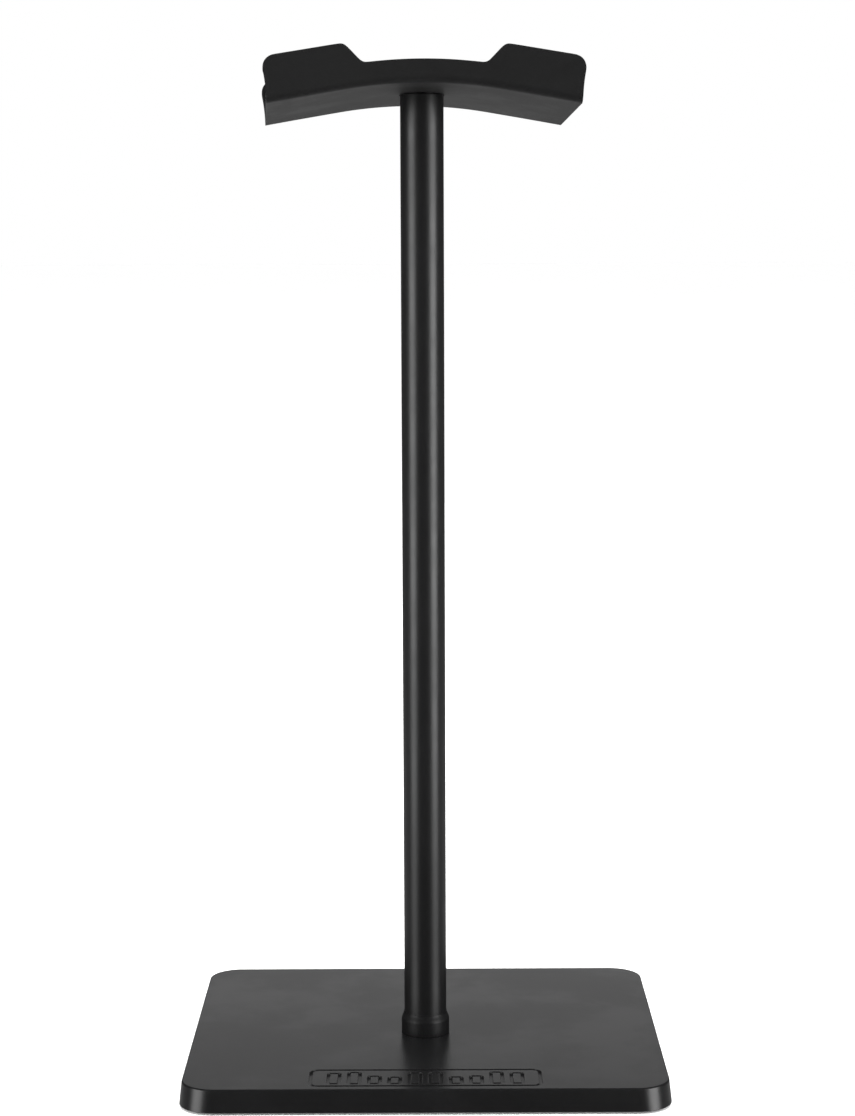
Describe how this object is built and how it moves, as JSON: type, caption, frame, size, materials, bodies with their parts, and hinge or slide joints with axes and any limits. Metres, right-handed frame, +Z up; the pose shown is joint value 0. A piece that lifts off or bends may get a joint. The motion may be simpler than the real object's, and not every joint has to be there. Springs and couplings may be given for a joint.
{
  "type": "headphone stand",
  "caption": "Desk headphone stand: flat weighted rectangular base, slim round upright and a soft flanged cradle on a swivel that carries a headband.",
  "frame": {"origin": "on the surface the stand rests on, under the middle of the base's footprint", "axes": "+Z up along the pole, -Y towards the front of the base, +X to the right seen from the front"},
  "size_m": [0.116, 0.1032, 0.247],
  "materials": {
    "base_plastic": "satin black moulding",
    "plate_plastic": "matte black moulding",
    "ballast_steel": "oiled mild steel",
    "foot_rubber": "matte",
    "screw_steel": "zinc plated",
    "pole_finish": "satin black anodised",
    "collar_plastic": "satin black moulding",
    "insert_brass": "turned",
    "washer_nylon": "black nylon",
    "core_plastic": "moulded",
    "saddle_soft": "satin soft-touch elastomer",
    "cover_soft": "satin soft-touch elastomer"
  },
  "bodies": {
    "stand": {"base_shell": "base_plastic", "bottom_plate": "plate_plastic", "ballast_plate": "ballast_steel", "foot_front_left": "foot_rubber", "foot_front_right": "foot_rubber", "foot_back_left": "foot_rubber", "foot_back_right": "foot_rubber", "bottom_plate_screws": "screw_steel", "pole_bolt": "screw_steel", "pole_bolt_washer": "screw_steel", "pole_bolt_lock_washer": "screw_steel", "pole_tube": "pole_finish", "pole_collar": "collar_plastic", "lower_insert": "insert_brass", "upper_insert": "insert_brass", "swivel_washer": "washer_nylon", "swivel_screw": "screw_steel", "swivel_top_washer": "screw_steel", "swivel_wave_washer": "screw_steel"},
    "cradle": {"saddle_core": "core_plastic", "soft_saddle": "saddle_soft", "screw_cover": "cover_soft"}
  },
  "joints": [
    {"name": "cradle_swivel", "type": "hinge", "parent": "stand", "child": "cradle", "pos_m": [0, -0.006, 0.2366], "axis": [0, 0, 1], "continuous": true}
  ]
}
